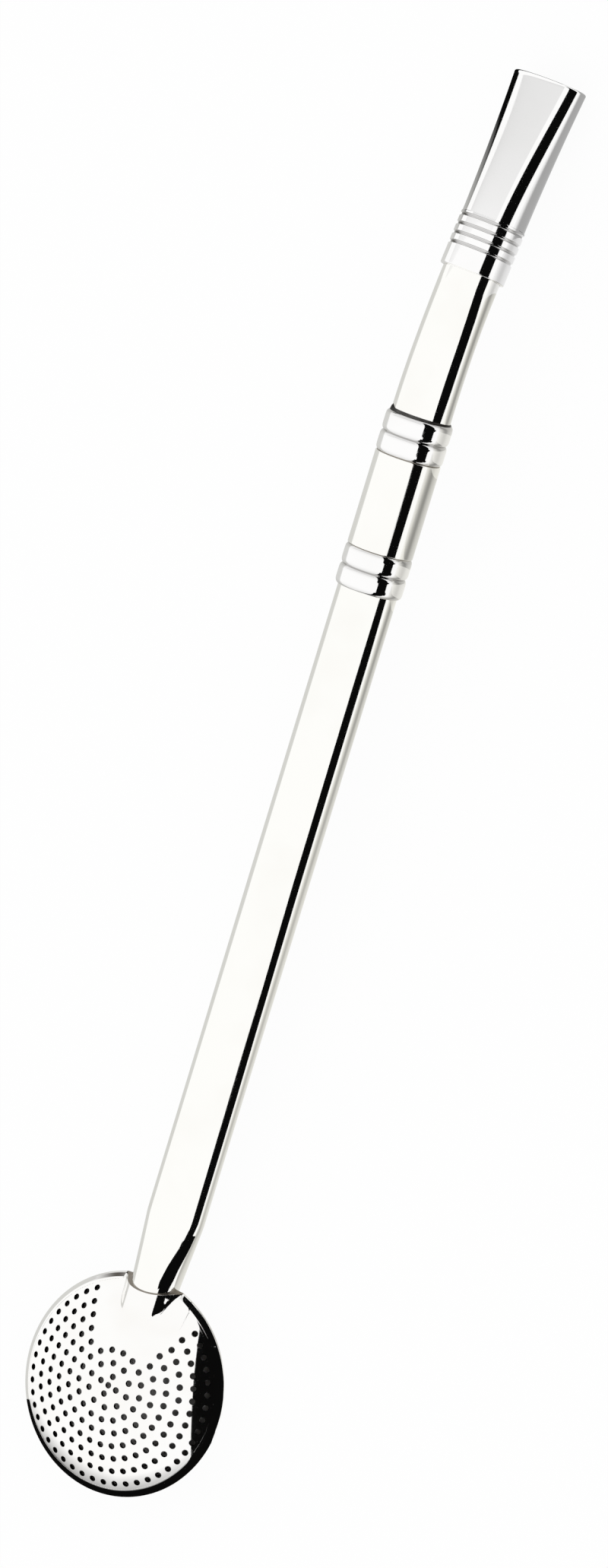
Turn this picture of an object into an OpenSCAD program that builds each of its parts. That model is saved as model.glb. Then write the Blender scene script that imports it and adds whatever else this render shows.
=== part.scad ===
// Bombilla: a metal straw for mate, with a round perforated strainer and a flattened mouthpiece.
// Millimetres. It lies on its back: +Z is the strainer's perforated front, +Y runs to the mouth.

/* [Strainer] */
// Diameter over the crimped rim
strainer_d = 30; // [26:0.5:36]
// Height of each dish above the seam
dome_h = 4.6; // [3.6:0.1:5.6]
// Radius of the sphere that the dishes follow
dome_radius = 28.8; // [26:0.2:34]
// Thickness of the pressed sheet
sheet = 0.45; // [0.35:0.05:0.6]
// Gap left between the two dishes at the seam
seam_gap = 0.05; // [0.02:0.01:0.1]

/* [Perforation] */
// Diameter of a hole
hole_d = 0.75; // [0.5:0.05:1]
// Distance from one ring of holes to the next
ring_pitch = 1.7; // [1.6:0.02:1.9]
// Radius of the first ring, short of a full pitch by
ring_offset = 0.4; // [0.2:0.02:0.6]
// Number of rings round the centre hole
ring_count = 8; // [4:1:8]
// Holes that each ring has more than the one inside it
ring_growth = 6.5; // [5:0.5:6.5]
// Angle of the line on which every ring starts
start_angle = 168; // [90:1:180]
// Distance from the centre to the bare patch near the neck
bare_from = 4.78; // [3:0.02:8]
// Half width of the bare patch where it starts
bare_half_w = 4.5; // [2:0.1:6]
// Widening of the bare patch for each millimetre towards the neck
bare_flare = 0.42; // [0:0.02:0.6]

/* [Neck] */
// Distance from the strainer's centre to the neck's lip
neck_lip = 14.3; // [14:0.1:15.2]
// Length of the stem's round end inside the neck
neck_depth = 3; // [2:0.1:4]
// Half width of the neck where its flanks meet the seam
neck_foot = 4.4; // [4.2:0.1:6]
// How far the lip is cut back at its crown
lip_slant = 1.1; // [0:0.1:1.6]

/* [Tubes] */
// Width of the flattened stem
stem_w = 8.4; // [7.8:0.1:9]
// Thickness of the flattened stem
stem_t = 5.8; // [5.2:0.1:6.6]
// Diameter of the stem's round lower end
stem_end_d = 6.5; // [6:0.1:6.8]
// Tube wall
tube_wall = 0.5; // [0.3:0.05:0.6]
// Length of the taper from the round end to the flattened stem
taper_len = 9.2; // [6:0.1:14]
// Length of the flattened stem that shows
stem_len = 87.6; // [60:0.5:140]
// Width of the upper tube at the ferrule
upper_top_w = 7.7; // [7.2:0.1:7.9]
// Thickness of the upper tube at the ferrule
upper_top_t = 6.6; // [6:0.1:7.2]
// Bend of the upper tube away from the strainer's front
bend_angle = 12.1; // [6:0.1:20]
// Radius of the bend along the tube's axis
bend_radius = 94; // [70:1:120]

/* [Rings and sleeve] */
// Diameter over a bead
bead_d = 9.1; // [8.8:0.1:10]
// Length of one bead
bead_len = 2.75; // [2:0.05:3.5]
// Height of a bead above the groove beside it
bead_h = 0.32; // [0.2:0.02:0.5]
// Diameter of the sleeve
sleeve_d = 8.9; // [8.7:0.1:9.6]
// Bore of the sleeve
sleeve_bore = 7.8; // [7:0.1:8.1]
// Length of the sleeve
sleeve_len = 12.8; // [8:0.2:24]
// Length of a ring's spigot inside the sleeve
spigot_len = 3; // [2:0.1:3.8]
// Depth of a socket for a tube's end
socket_depth = 3.4; // [2:0.1:4]
// Bore through the rings and the ferrule
flow_d = 4.6; // [3.6:0.1:4.8]

/* [Mouthpiece and ferrule] */
// Diameter of the ferrule
ferrule_d = 8.9; // [8.7:0.1:9.6]
// Length of the ferrule's plain band, up to its first groove
band_len = 3.1; // [2.8:0.1:5]
// Distance from one groove to the next
groove_pitch = 1.29; // [1:0.01:1.6]
// Number of grooves
groove_count = 4; // [2:1:5]
// Width of a groove
groove_w = 0.5; // [0.3:0.05:0.6]
// Diameter of the mouthpiece at its root
mouth_root_d = 8.7; // [8.3:0.1:8.9]
// Width of the mouthpiece at the lips
mouth_w = 10.6; // [9:0.1:12.5]
// Thickness of the mouthpiece at the lips
mouth_t = 6.7; // [4.5:0.1:7.5]
// Length from the last groove to the lips
mouth_len = 20.4; // [14:0.2:30]
// Wall of the mouthpiece
mouth_wall = 0.7; // [0.5:0.05:0.8]

/* [Fits] */
// Gap on each side of a brazed fit
fit = 0.05; // [0.02:0.01:0.1]

/* [Hidden] */

$fn = 96;
sides = 48;
stations = 9;
eps = 0.01;

// Crimped rim: the back dish's edge wraps the front dish's flange
hem_r = (3 * sheet + 2 * seam_gap) / 2;
hem_centre_r = strainer_d / 2 - hem_r;
hem_centre_z = hem_r - sheet;
wall_r = hem_centre_r - 0.4;
flange_r = hem_centre_r + 0.15;

// Rings of holes that fit inside the wall
last_ring = min(ring_count, floor((wall_r - hole_d / 2 - 0.2 + ring_offset) / ring_pitch));

// Neck
neck_bore_r = stem_end_d / 2 + fit;
neck_r = neck_bore_r + sheet;
neck_inner = neck_lip - neck_depth - lip_slant;
neck_tail = neck_inner - 2.6;
flank_lean = neck_r / neck_foot;
flank_top = neck_r * [flank_lean, sqrt(1 - flank_lean * flank_lean)];

// Places along the stem, from the strainer's centre
stem_end = neck_inner + 0.2;
taper_start = neck_lip - 0.2;
taper_end = taper_start + taper_len;
ring_len = 2 * bead_len;
lower_ring_at = taper_end + stem_len;
sleeve_at = lower_ring_at + ring_len + fit;
upper_ring_at = sleeve_at + sleeve_len + fit;
bend_at = upper_ring_at + ring_len;

// Upper end, measured from the end of the bend
ferrule_len = band_len + (groove_count - 1) * groove_pitch + groove_w;
mouth_root = ferrule_len + fit;
mouth_end = band_len + (groove_count - 1) * groove_pitch + mouth_len;
mouth_spigot_r = mouth_root_d / 2 - 0.6;
mouth_web = 0.8;
ferrule_socket = ferrule_len - spigot_len - 1.2;

// Rest: the back dish and the lower lip both touch the floor
dish_centre_z = dome_radius - dome_h;
mouth_y = bend_at + bend_radius * sin(bend_angle) + mouth_end * cos(bend_angle);
mouth_z = -bend_radius * (1 - cos(bend_angle)) - mouth_end * sin(bend_angle);
lip_y = mouth_y - mouth_t / 2 * sin(bend_angle);
lip_z = mouth_z - mouth_t / 2 * cos(bend_angle);
rest_reach = norm([lip_y, dish_centre_z - lip_z]);
rest_tilt = atan2(dish_centre_z - lip_z, lip_y) - asin(dome_radius / rest_reach);
lift = dome_radius - dish_centre_z * cos(rest_tilt);
far_lip_y = lip_y + mouth_t * sin(bend_angle);
far_lip_z = lip_z + mouth_t * cos(bend_angle);
reach_front = far_lip_y * cos(rest_tilt) - far_lip_z * sin(rest_tilt);
reach_back = -hem_centre_r * cos(rest_tilt) - hem_r;
mid_y = (reach_front + reach_back) / 2;

steel = [0.82, 0.83, 0.84];
turned_steel = [0.76, 0.77, 0.78];
pressed_steel = [0.86, 0.86, 0.85];

// Puts the straw at rest on the floor, with the middle of its box over the origin
module placed() {
    translate([0, -mid_y, lift]) rotate([rest_tilt, 0, 0]) children();
}

// Local +Z runs along the stem and local -Y is the strainer's front
module along_stem(at = 0) {
    placed() rotate([-90, 0, 0]) translate([0, 0, at]) children();
}

// The frame at the end of the bend
module along_mouth(at = 0) {
    along_stem(bend_at)
        translate([0, bend_radius * (1 - cos(bend_angle)), bend_radius * sin(bend_angle)])
            rotate([-bend_angle, 0, 0])
                translate([0, 0, at]) children();
}

function oval(half_w, half_t) =
    [for (i = [0:sides - 1]) [half_w * cos(360 * i / sides), half_t * sin(360 * i / sides)]];

function mix(a, b, k) = a + (b - a) * k;

function ease(k) = k * k * (3 - 2 * k);

// Solid through a list of equal rings of points
module skin(rings) {
    n = len(rings[0]);
    last = len(rings) - 1;
    points = [for (ring = rings) each ring];
    sides_of = [for (j = [0:last - 1], i = [0:n - 1])
        each [[j * n + i, (j + 1) * n + i, (j + 1) * n + (i + 1) % n],
              [j * n + i, (j + 1) * n + (i + 1) % n, j * n + (i + 1) % n]]];
    first_cap = [for (i = [0:n - 1]) i];
    last_cap = [for (i = [n - 1:-1:0]) last * n + i];
    polyhedron(points, concat(sides_of, [first_cap, last_cap]));
}

module tube_of(length, half_w, half_t, inset = 0) {
    linear_extrude(length) polygon(oval(half_w - inset, half_t - inset));
}

// Ring of points across the bent tube, at a share k of the bend or straight on past its end
function bend_ring(k, inset, past = 0) =
    let (a = bend_angle * k)
    let (half_w = mix(stem_w, upper_top_w, ease(k)) / 2 - inset)
    let (half_t = mix(stem_t, upper_top_t, ease(k)) / 2 - inset)
    [for (p = oval(half_w, half_t))
        [p[0],
         bend_radius - (bend_radius - p[1]) * cos(a) + past * sin(a),
         (bend_radius - p[1]) * sin(a) + past * cos(a)]];

module bend(inset, past) {
    skin(concat([for (j = [0:stations]) bend_ring(j / stations, inset)], [bend_ring(1, inset, past)]));
}

// Ring of points across the mouthpiece, at a share k of the way to the lips
function mouth_ring(k, inset) =
    let (half_w = mix(mouth_root_d, mouth_w, pow(k, 1.5)) / 2 - inset)
    let (half_t = mix(mouth_root_d, mouth_t, ease(k)) / 2 - inset)
    [for (p = oval(half_w, half_t)) [p[0], p[1], mix(mouth_root, mouth_end, k)]];

module mouthpiece() {
    color(turned_steel) along_mouth() difference() {
        union() {
            skin([for (j = [0:stations]) mouth_ring(j / stations, 0)]);
            translate([0, 0, mouth_root - spigot_len])
                cylinder(h = spigot_len + mouth_web / 2, r = mouth_spigot_r);
        }
        skin([for (j = [0:stations])
            mouth_ring(mix(mouth_web / mouth_len, 1 + eps, j / stations), mouth_wall)]);
        translate([0, 0, mouth_root - spigot_len - eps])
            cylinder(h = spigot_len + 2 * mouth_web, r = mouth_spigot_r - mouth_wall);
    }
}

module mouth_ferrule() {
    color(turned_steel) along_mouth() difference() {
        rotate_extrude() difference() {
            translate([flow_d / 2, fit]) square([(ferrule_d - flow_d) / 2, ferrule_len - fit]);
            for (i = [0:groove_count - 1])
                translate([ferrule_d / 2 + 0.05, band_len + i * groove_pitch]) circle(d = groove_w);
            translate([0, ferrule_len - spigot_len - fit]) square([mouth_spigot_r + fit, spigot_len + 1]);
        }
        translate([0, 0, -eps]) tube_of(ferrule_socket + fit, upper_top_w / 2, upper_top_t / 2, -fit);
    }
}

module upper_tube() {
    color(steel) along_stem(bend_at) difference() {
        union() {
            translate([0, 0, -socket_depth]) tube_of(socket_depth, stem_w / 2, stem_t / 2);
            bend(0, ferrule_socket - fit);
        }
        translate([0, 0, -socket_depth - 1]) tube_of(socket_depth + 1, stem_w / 2, stem_t / 2, tube_wall);
        bend(tube_wall, ferrule_socket + 1);
    }
}

// Two beads, a spigot above them and an oval socket below
module beaded_ring() {
    bead_r = (pow(bead_len / 2, 2) + pow(bead_h, 2)) / (2 * bead_h);
    core_r = bead_d / 2 - bead_h - 0.15;
    difference() {
        union() {
            rotate_extrude() {
                translate([flow_d / 2, 0]) square([core_r - flow_d / 2, ring_len]);
                for (i = [0:1])
                    intersection() {
                        translate([bead_d / 2 - bead_r, (i + 0.5) * bead_len]) circle(r = bead_r);
                        translate([core_r - 0.5, i * bead_len]) square([bead_d, bead_len]);
                    }
                translate([flow_d / 2, ring_len - 1])
                    square([sleeve_bore / 2 - fit - flow_d / 2, spigot_len + 1 + fit]);
            }
        }
        translate([0, 0, -eps]) tube_of(socket_depth + fit, stem_w / 2, stem_t / 2, -fit);
    }
}

module upper_ring() {
    color(turned_steel) along_stem(bend_at) rotate([180, 0, 0]) beaded_ring();
}

module lower_ring() {
    color(turned_steel) along_stem(lower_ring_at) beaded_ring();
}

module mid_sleeve() {
    color(steel) along_stem(sleeve_at) difference() {
        cylinder(h = sleeve_len, d = sleeve_d);
        translate([0, 0, -1]) cylinder(h = sleeve_len + 2, d = sleeve_bore);
    }
}

// The stem's outside, or its bore when it is inset by the wall
module stem_form(inset) {
    ends = inset > 0 ? 1 : 0;
    translate([0, 0, stem_end - ends])
        cylinder(h = taper_start - stem_end + ends + 0.6, d = stem_end_d - 2 * inset);
    hull() {
        translate([0, 0, taper_start]) tube_of(eps, stem_end_d / 2 + 0.1, stem_end_d / 2 + 0.1, inset);
        translate([0, 0, taper_end - eps]) tube_of(eps, stem_w / 2, stem_t / 2, inset);
    }
    translate([0, 0, taper_end]) tube_of(stem_len + socket_depth + ends, stem_w / 2, stem_t / 2, inset);
}

module stem_tube() {
    color(steel) along_stem() difference() {
        stem_form(0);
        stem_form(tube_wall);
    }
}

function ring_radius(k) = ring_pitch * k - ring_offset;

function ring_holes(k) = floor(ring_growth * k - 2.5);

function in_bare_patch(x, y) = y > bare_from && abs(x) < bare_half_w + bare_flare * (y - bare_from);

// One hole, square to the dome's surface
module hole(r, angle) {
    translate([0, 0, dome_h - dome_radius])
        rotate([0, asin(r / dome_radius), angle])
            translate([0, 0, dome_radius - 1.5 * sheet - 0.3]) cylinder(h = 3 * sheet, d = hole_d);
}

module holes() {
    hole(0, 0);
    for (k = [1:last_ring], i = [0:ring_holes(k) - 1]) {
        angle = start_angle + 360 * i / ring_holes(k);
        if (!in_bare_patch(ring_radius(k) * cos(angle), ring_radius(k) * sin(angle)))
            hole(ring_radius(k), angle);
    }
}

// Arch over the stem's end, with sloping flanks; inset makes its inside
module neck_arch(inset) {
    flank = [neck_foot, 0] - flank_top;
    out = [-flank[1], flank[0]] / norm(flank);
    top = flank_top - inset * out;
    foot_x = neck_foot - inset / out[0];
    intersection() {
        union() {
            translate([0, neck_inner, 0]) rotate([-90, 0, 0]) cylinder(h = 8, r = neck_r - inset);
            translate([0, neck_tail, 0]) rotate([-90, 0, 0])
                cylinder(h = neck_inner - neck_tail, r1 = neck_r - inset - 0.9, r2 = neck_r - inset);
            translate([0, neck_inner + 8, 0]) rotate([90, 0, 0]) linear_extrude(8)
                polygon([[-foot_x, 0], [foot_x, 0], top, [-top[0], top[1]]]);
        }
        translate([-10, 0, 0]) cube([20, 30, 10]);
    }
}

// Everything past the neck's slanted lip
module past_lip() {
    translate([-10, neck_lip, 0])
        rotate([atan(lip_slant / neck_r), 0, 0])
            translate([0, 0, -5]) cube([20, 10, 15]);
}

// Cap of the sphere that the dish follows, filled; the sphere's poles lie level, away from the cap
module dome_fill(inset) {
    intersection() {
        translate([0, 0, dome_h - dome_radius]) rotate([90, 0, 0]) sphere(r = dome_radius - inset);
        cylinder(h = 10, r = wall_r - inset);
    }
}

// One dish, seam at z = 0, dome up and neck towards +Y
module dish(perforated) {
    difference() {
        union() {
            dome_fill(0);
            cylinder(h = sheet, r = flange_r);
            difference() {
                neck_arch(0);
                past_lip();
            }
        }
        translate([0, 0, -1]) cylinder(h = 1 + eps, r = wall_r - sheet);
        dome_fill(sheet);
        neck_arch(sheet);
        if (perforated) holes();
    }
}

// The rolled edge of the back dish, seam at z = 0 and front side up
module hem() {
    difference() {
        rotate_extrude() {
            intersection() {
                translate([hem_centre_r, hem_centre_z]) difference() {
                    circle(r = hem_r);
                    circle(r = hem_r - sheet);
                }
                translate([hem_centre_r, -5]) square(10);
            }
            translate([wall_r + fit, hem_centre_z + hem_r - sheet])
                square([hem_centre_r - wall_r - fit, sheet]);
            translate([wall_r - sheet / 2, -sheet])
                square([hem_centre_r - wall_r + sheet / 2, sheet]);
        }
        translate([-neck_foot - 0.1, 0, -5]) cube([2 * neck_foot + 0.2, 30, 10]);
    }
}

module strainer_front() {
    color(pressed_steel) placed() translate([0, 0, seam_gap]) dish(true);
}

module strainer_back() {
    color(pressed_steel) placed() {
        mirror([0, 0, 1]) dish(false);
        hem();
    }
}

mouthpiece();
mouth_ferrule();
upper_tube();
upper_ring();
mid_sleeve();
lower_ring();
stem_tube();
strainer_front();
strainer_back();
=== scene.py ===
import math

import bpy
import numpy as np
from mathutils import Matrix, Vector
from mathutils.geometry import delaunay_2d_cdt


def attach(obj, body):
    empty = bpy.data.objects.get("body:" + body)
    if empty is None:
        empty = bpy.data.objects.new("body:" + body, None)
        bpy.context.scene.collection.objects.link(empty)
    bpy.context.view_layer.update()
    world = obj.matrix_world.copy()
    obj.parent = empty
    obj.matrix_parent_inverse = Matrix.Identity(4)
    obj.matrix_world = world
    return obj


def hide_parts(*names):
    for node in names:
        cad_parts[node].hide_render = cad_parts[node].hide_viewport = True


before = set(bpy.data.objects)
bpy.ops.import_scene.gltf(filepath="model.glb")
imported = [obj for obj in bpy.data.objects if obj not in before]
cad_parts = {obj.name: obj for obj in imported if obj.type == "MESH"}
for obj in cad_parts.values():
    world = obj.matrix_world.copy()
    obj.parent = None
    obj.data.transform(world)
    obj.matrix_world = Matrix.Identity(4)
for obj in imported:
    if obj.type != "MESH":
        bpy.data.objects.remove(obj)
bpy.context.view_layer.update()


# STRAINER DISHES
# Two shallow dishes pressed from thin stainless sheet, each with half of a neck for the stem at its edge.
# The front one is punched with rings of fine holes, the back one is plain and lies on the table.

MM = 0.001
REST_TILT = math.radians(2.05617)
STRAINER_TO_MIDDLE = 83.5118
SEAM_HEIGHT = 4.61558

SHEET = 0.45
SEAM_GAP = 0.05
DOME_HEIGHT = 4.6
DOME_RADIUS = 28.8
WALL_RADIUS = 14.07
SHOULDER = 0.03
SHOULDER_DROP = 0.01
WALL_LEAN = 0.02
LEAN_BY_NECK = 0.6
NECK_SIDE_FADE = 0.25
FLANGE = 14.13

NECK_LIP = 14.3
LIP_SLANT = 1.1
LIP_MEASURED_BACK = 0.8
NECK_RADIUS = 3.75
NECK_FROM = 5.0
NECK_INNER = 10.2
NECK_RUN_IN = 2.6
NECK_SINK = 0.9
NECK_FOOT = 4.4
FOOT_TAPER = 0.03
FOOT_LEAST = 1.05
NECK_HALF_OPENING = NECK_FOOT
NECK_STANDS_OUT = 0.08
PRESSED_BLEND = 0.45
BELOW_THE_DOME = -5.0
UPRIGHT_FROM = 13.5
UPRIGHT_OVER = 0.2

HOLE_RADIUS = 0.375
HOLE_EDGE = 0.07
HOLE_EDGE_DEPTH = 0.05
HOLE_EDGE_UP = 0.4
HOLE_EDGE_IN = 0.9
HOLE_SIDES = 14
RING_PITCH = 1.7
RING_SHORT_OF_PITCH = 0.4
RING_COUNT = 8
HOLES_MORE_PER_RING = 6.5
HOLES_LEFT_OUT = 2.5
RING_START = math.radians(168)
BARE_FROM = 4.78
BARE_HALF_WIDTH = 4.5
BARE_FLARE = 0.42

RIM_POINTS = 220
RIM_RADII = (13.0, 13.3, 13.6, 13.8, 13.95, 14.03, 14.045, 14.06, 14.07, 14.08, 14.09)
LIP_POINTS = 61
DOME_SPACING = 0.5
DOME_FILL = 12.75
HEX_ROW = 0.866
NECK_SPACING = 0.2
NECK_PATCH_HALF = 6.2
NECK_PATCH_FROM = 7.2
LIP_SIDE = 0.6
LIP_BEYOND = 2
EDGE_MARGIN = 0.03
HOLE_CLEAR = 0.1
SAME_POINT = 1e-6
SHARP_ANGLE = math.radians(32)

FILM_PER_METRE = 140.0
FILM_DETAIL = 2.0
FILM_RANGE = (0.45, 0.75)
MARK_DETAIL = 3.0
MARK_RANGE = (0.3, 0.7)
MARK_DEPTH = 0.0001
# Dark colour of painted shade, mixed into the steel where a mesh's attribute asks for it.
PAINTED_SHADE_COLOUR = (0.1, 0.09, 0.08, 1)
MIX_SHARE, MIX_FIRST, MIX_SECOND, MIX_RESULT = 0, 6, 7, 2


def at_rest(points):
    """Millimetres about the strainer's centre, +Y along the stem, to metres in the resting straw."""
    x, y, z = np.asarray(points, float).T
    c, s = math.cos(REST_TILT), math.sin(REST_TILT)
    return np.column_stack([x, y * c - z * s - STRAINER_TO_MIDDLE, y * s + z * c + SEAM_HEIGHT]) * MM


def turned_to_rest(directions):
    """Directions about the strainer's centre to directions in the resting straw."""
    x, y, z = np.asarray(directions, float).T
    c, s = math.cos(REST_TILT), math.sin(REST_TILT)
    return np.column_stack([x, y * c - z * s, y * s + z * c])


def rim_height(x, y):
    """Dome, rounded shoulder, short wall and flange; under the neck the wall leans outwards."""
    r = np.hypot(x, y)
    by_neck = np.clip((NECK_FOOT + NECK_SIDE_FADE - np.abs(x)) / NECK_SIDE_FADE, 0, 1) * (y > 0)
    lean = WALL_LEAN + LEAN_BY_NECK * by_neck
    inside = np.minimum(r, WALL_RADIUS)
    dome = DOME_HEIGHT - DOME_RADIUS + np.sqrt(DOME_RADIUS**2 - inside**2)
    turn = np.clip((r - WALL_RADIUS + SHOULDER) / SHOULDER, 0, 1)
    z = dome - SHOULDER_DROP * (1 - np.sqrt(1 - turn**2))
    down = np.clip((r - WALL_RADIUS) / lean, 0, 1)
    return z + (SHEET - z) * down


def neck_height(x, y):
    """Half tube pressed for the stem, with flanks that run out tangentially to the seam."""
    sink = np.clip((NECK_INNER - y) / NECK_RUN_IN, 0, 1)
    radius = NECK_RADIUS - NECK_SINK * sink * sink * (3 - 2 * sink)
    foot = np.maximum(NECK_FOOT - FOOT_TAPER * (NECK_LIP - y), FOOT_LEAST * radius)
    touch = radius**2 / foot
    tube = np.sqrt(np.maximum(radius**2 - x**2, 0))
    flank = (foot - np.abs(x)) * touch / np.sqrt(radius**2 - touch**2)
    return np.where(y > NECK_FROM, np.where(np.abs(x) < touch, tube, flank), BELOW_THE_DOME)


def dish_height(x, y):
    """The dish's skin: the higher of dome and neck, with a small radius where they meet."""
    rim, neck = rim_height(x, y), neck_height(x, y)
    near = np.maximum(PRESSED_BLEND - np.abs(rim - neck), 0) / PRESSED_BLEND
    return np.maximum(rim, neck) + near * near * PRESSED_BLEND / 4


def dish_normal(x, y):
    """Outward normals of the skin, from its slope over a short step."""
    step = 0.002
    dx = (dish_height(x + step, y) - dish_height(x - step, y)) / (2 * step)
    dy = (dish_height(x, y + step) - dish_height(x, y - step)) / (2 * step)
    n = np.column_stack([-dx, -dy, np.ones_like(dx)])
    return n / np.linalg.norm(n, axis=1)[:, None]


def lip_line(x):
    """Where the neck ends: its lip is cut at a slant, so the crown is shorter than the feet."""
    crown = dish_height(x, np.full_like(x, NECK_LIP - LIP_MEASURED_BACK))
    return NECK_LIP - LIP_SLANT * crown / NECK_RADIUS


def hole_places():
    """Centres of the punched holes; the patch beside the neck is left bare."""
    places = [(0.0, 0.0)]
    for ring in range(1, RING_COUNT + 1):
        r = RING_PITCH * ring - RING_SHORT_OF_PITCH
        count = math.floor(HOLES_MORE_PER_RING * ring - HOLES_LEFT_OUT)
        for i in range(count):
            a = RING_START + 2 * math.pi * i / count
            x, y = r * math.cos(a), r * math.sin(a)
            if not (y > BARE_FROM and abs(x) < BARE_HALF_WIDTH + BARE_FLARE * (y - BARE_FROM)):
                places.append((x, y))
    return np.array(places)


def blank_outline(flange):
    """Edge of the flat blank: the flange's circle, broken by the neck's lip."""
    half_turn = math.asin(NECK_HALF_OPENING / flange)
    a = np.linspace(math.pi / 2 + half_turn, 2.5 * math.pi - half_turn, RIM_POINTS)
    across = np.linspace(NECK_HALF_OPENING, -NECK_HALF_OPENING, LIP_POINTS)
    round_edge = flange * np.column_stack([np.cos(a), np.sin(a)])
    return np.vstack([round_edge, np.column_stack([across, lip_line(across)])])


def in_blank(p, flange, margin):
    """Whether points lie in the blank, at least a margin from its edge."""
    x, y = p.T
    in_flange = np.hypot(x, y) < flange - margin
    in_mouth = np.abs(x) < NECK_HALF_OPENING - margin
    behind_lip = y < lip_line(np.clip(x, -NECK_HALF_OPENING, NECK_HALF_OPENING)) - margin
    return np.where(in_mouth & (y > 0), behind_lip, in_flange)


def hole_loops(places, radius):
    """Loops round the holes, drawn as seen from above so that they are round on the sloping dome."""
    a = 2 * math.pi * np.arange(HOLE_SIDES) / HOLE_SIDES
    loops = []
    for x, y in places:
        r = math.hypot(x, y)
        out = np.array([x, y]) / r if r > 0 else np.array([1.0, 0.0])
        side = np.array([-out[1], out[0]])
        lean = math.cos(math.asin(r / DOME_RADIUS))
        loop = np.outer(np.cos(a) * lean, out) + np.outer(np.sin(a), side)
        loops.append([x, y] + radius * loop)
    return loops


def blank_filler(flange, places):
    """Points between outline and holes: close together at the rim and on the neck, wider on the dome."""
    a = 2 * math.pi * np.arange(RIM_POINTS) / RIM_POINTS
    rims = [r * np.column_stack([np.cos(a), np.sin(a)]) for r in RIM_RADII if r < flange - EDGE_MARGIN]
    columns = int(DOME_FILL / DOME_SPACING) + 2
    rows = int(DOME_FILL / (DOME_SPACING * HEX_ROW)) + 2
    hexes = np.array([(DOME_SPACING * (i + 0.5 * (j % 2)), DOME_SPACING * HEX_ROW * j)
                      for i in range(-columns, columns + 1) for j in range(-rows, rows + 1)])
    on_patch = (np.abs(hexes[:, 0]) < NECK_PATCH_HALF) & (hexes[:, 1] > NECK_PATCH_FROM)
    hexes = hexes[(np.hypot(*hexes.T) < DOME_FILL) & ~on_patch]
    nx, ny = np.meshgrid(np.arange(-NECK_PATCH_HALF, NECK_PATCH_HALF + EDGE_MARGIN, NECK_SPACING),
                         np.arange(NECK_PATCH_FROM, NECK_LIP, NECK_SPACING))
    neck = np.column_stack([nx.ravel(), ny.ravel()])
    by_lip = np.abs(neck[:, 0]) < NECK_HALF_OPENING + LIP_SIDE
    neck = neck[np.hypot(*neck.T) < DOME_FILL + LIP_BEYOND * by_lip]
    filler = np.vstack(rims + [hexes, neck])
    filler = filler[in_blank(filler, flange, EDGE_MARGIN)]
    for place in places:
        filler = filler[np.hypot(*(filler - place).T) > HOLE_RADIUS + HOLE_EDGE + HOLE_CLEAR]
    return filler


def punched_blank(flange, places):
    """Triangles of the blank between its outline and the holes: points, triangles, outline, loops."""
    loops = hole_loops(places, HOLE_RADIUS + HOLE_EDGE)
    outline = blank_outline(flange)
    points = np.vstack([outline] + loops + [blank_filler(flange, places)])
    edges, start = [], 0
    for loop in [outline] + loops:
        n = len(loop)
        edges += [(start + i, start + (i + 1) % n) for i in range(n)]
        start += n
    flat, _, found, came_from, _, _ = delaunay_2d_cdt(
        [Vector(p) for p in points], edges, [], 0, SAME_POINT)
    flat = np.array(flat)
    new_index = {old: new for new, olds in enumerate(came_from) for old in olds}
    kept_outline = [new_index[i] for i in range(len(outline))]
    kept_loops = [[new_index[len(outline) + k * HOLE_SIDES + i] for i in range(HOLE_SIDES)]
                  for k in range(len(loops))]
    hole_of = {v: k for k, loop in enumerate(kept_loops) for v in loop}
    middles = np.array([flat[list(f)].mean(0) for f in found])
    triangles = []
    for f, on_sheet in zip(found, in_blank(middles, flange, 0.0)):
        in_one_hole = f[0] in hole_of and all(hole_of.get(v) == hole_of[f[0]] for v in f)
        if on_sheet and not in_one_hole:
            a, b, c = flat[list(f)]
            left = (b[0] - a[0]) * (c[1] - a[1]) - (b[1] - a[1]) * (c[0] - a[0]) > 0
            triangles.append(list(f) if left else list(f)[::-1])
    used = sorted({v for t in triangles for v in t})
    renumber = {old: new for new, old in enumerate(used)}
    triangles = [[renumber[v] for v in t] for t in triangles]
    kept_outline = [renumber[v] for v in kept_outline if v in renumber]
    kept_loops = [[renumber[v] for v in loop] for loop in kept_loops]
    return flat[used], triangles, kept_outline, kept_loops


def new_piece(name, points, faces, normals=None):
    """A smooth mesh object from points in millimetres.

    Normals, where they are given, are one for each corner of each face.
    """
    mesh = bpy.data.meshes.new(name)
    mesh.from_pydata(at_rest(points).tolist(), [], faces)
    mesh.update()
    mesh.polygons.foreach_set("use_smooth", [True] * len(mesh.polygons))
    if normals is None:
        mesh.set_sharp_from_angle(angle=SHARP_ANGLE)
    else:
        mesh.normals_split_custom_set(turned_to_rest(normals).tolist())
    piece = bpy.data.objects.new(name, mesh)
    bpy.context.scene.collection.objects.link(piece)
    return piece


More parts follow.
